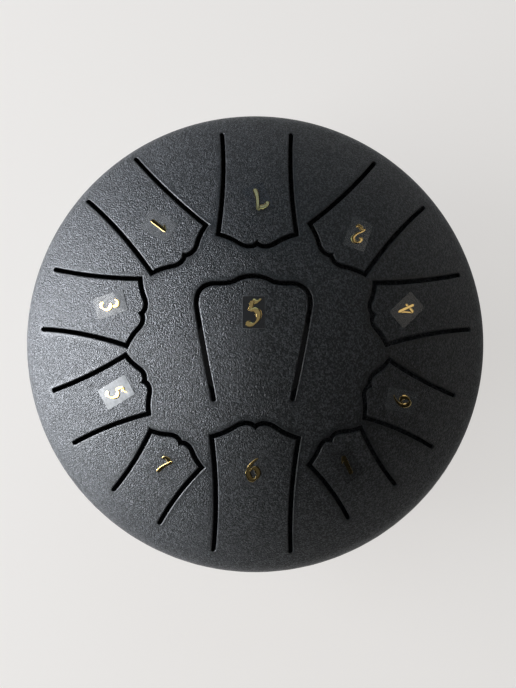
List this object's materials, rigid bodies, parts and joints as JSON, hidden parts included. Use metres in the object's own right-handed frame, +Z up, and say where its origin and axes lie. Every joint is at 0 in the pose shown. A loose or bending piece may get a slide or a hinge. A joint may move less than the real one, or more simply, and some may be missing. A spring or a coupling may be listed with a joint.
{
  "type": "steel tongue drum",
  "caption": "Round steel tongue drum: two welded domes, slit tongues that flex when struck, clear number films, a sound hole below and rubber feet.",
  "frame": {"origin": "under the middle of the drum, on the plane that the feet stand on", "axes": "+Z up, out of the struck dome; +Y towards the tongue of the low 7; +X towards the tongue of the 4"},
  "size_m": [0.2546, 0.2546, 0.1348],
  "materials": {
    "powder_coat": "black powder coat with a fine sandy grain, semi-matt",
    "rubber": "moulded black rubber, matt",
    "clear_film": "clear glossy film",
    "gold_foil": "thin gold foil numerals, slightly satin"
  },
  "bodies": {
    "drum_shell": {"top_shell": "powder_coat", "bottom_shell": "powder_coat", "seam_weld": "powder_coat", "foot_1": "rubber", "foot_2": "rubber", "foot_3": "rubber", "foot_4": "rubber"},
    "tongue_low_5": {"tongue_low_5": "powder_coat", "sticker_low_5": "clear_film"},
    "tongue_low_6": {"tongue_low_6": "powder_coat", "sticker_low_6": "clear_film"},
    "tongue_low_7": {"tongue_low_7": "powder_coat", "sticker_low_7": "clear_film"},
    "tongue_1": {"tongue_1": "powder_coat", "sticker_1": "clear_film"},
    "tongue_2": {"tongue_2": "powder_coat", "sticker_2": "clear_film"},
    "tongue_3": {"tongue_3": "powder_coat", "sticker_3": "clear_film"},
    "tongue_4": {"tongue_4": "powder_coat", "sticker_4": "clear_film"},
    "tongue_5": {"tongue_5": "powder_coat", "sticker_5": "clear_film"},
    "tongue_6": {"tongue_6": "powder_coat", "sticker_6": "clear_film"},
    "tongue_7": {"tongue_7": "powder_coat", "sticker_7": "clear_film"},
    "tongue_high_1": {"tongue_high_1": "powder_coat", "sticker_high_1": "clear_film"}
  },
  "joints": [
    {"name": "flex_low_5", "type": "hinge", "parent": "drum_shell", "child": "tongue_low_5", "pos_m": [-0.002, -0.0325, 0.13052], "axis": [1, 0, 0], "range_deg": [-0.5, 0.5], "stiffness_Nm_per_rad": 115},
    {"name": "flex_low_6", "type": "hinge", "parent": "drum_shell", "child": "tongue_low_6", "pos_m": [-0.00197, -0.11298, 0.08948], "axis": [0.9998, -0.0175, 0], "range_deg": [-0.5, 0.5], "stiffness_Nm_per_rad": 170},
    {"name": "flex_low_7", "type": "hinge", "parent": "drum_shell", "child": "tongue_low_7", "pos_m": [0, 0.112, 0.0904], "axis": [-1, 0, 0], "range_deg": [-0.5, 0.5], "stiffness_Nm_per_rad": 175},
    {"name": "flex_1", "type": "hinge", "parent": "drum_shell", "child": "tongue_1", "pos_m": [-0.07896, 0.08769, 0.08466], "axis": [-0.7431, -0.6691, 0], "range_deg": [-0.5, 0.5], "stiffness_Nm_per_rad": 165},
    {"name": "flex_2", "type": "hinge", "parent": "drum_shell", "child": "tongue_2", "pos_m": [0.07769, 0.08479, 0.08761], "axis": [-0.7373, 0.6756, 0], "range_deg": [-0.5, 0.5], "stiffness_Nm_per_rad": 180},
    {"name": "flex_3", "type": "hinge", "parent": "drum_shell", "child": "tongue_3", "pos_m": [-0.11191, 0.02175, 0.08855], "axis": [-0.1908, -0.9816, 0], "range_deg": [-0.5, 0.5], "stiffness_Nm_per_rad": 160},
    {"name": "flex_4", "type": "hinge", "parent": "drum_shell", "child": "tongue_4", "pos_m": [0.11258, 0.02087, 0.08808], "axis": [-0.1822, 0.9833, 0], "range_deg": [-0.5, 0.5], "stiffness_Nm_per_rad": 165},
    {"name": "flex_5", "type": "hinge", "parent": "drum_shell", "child": "tongue_5", "pos_m": [-0.10292, -0.04158, 0.0913], "axis": [0.3746, -0.9272, 0], "range_deg": [-0.5, 0.5], "stiffness_Nm_per_rad": 150},
    {"name": "flex_6", "type": "hinge", "parent": "drum_shell", "child": "tongue_6", "pos_m": [0.09996, -0.04346, 0.09307], "axis": [0.3987, 0.9171, 0], "range_deg": [-0.5, 0.5], "stiffness_Nm_per_rad": 160},
    {"name": "flex_7", "type": "hinge", "parent": "drum_shell", "child": "tongue_7", "pos_m": [-0.06359, -0.08915, 0.09263], "axis": [0.8141, -0.5807, 0], "range_deg": [-0.5, 0.5], "stiffness_Nm_per_rad": 160},
    {"name": "flex_high_1", "type": "hinge", "parent": "drum_shell", "child": "tongue_high_1", "pos_m": [0.06126, -0.08589, 0.09602], "axis": [0.8141, 0.5807, 0], "range_deg": [-0.5, 0.5], "stiffness_Nm_per_rad": 155}
  ]
}
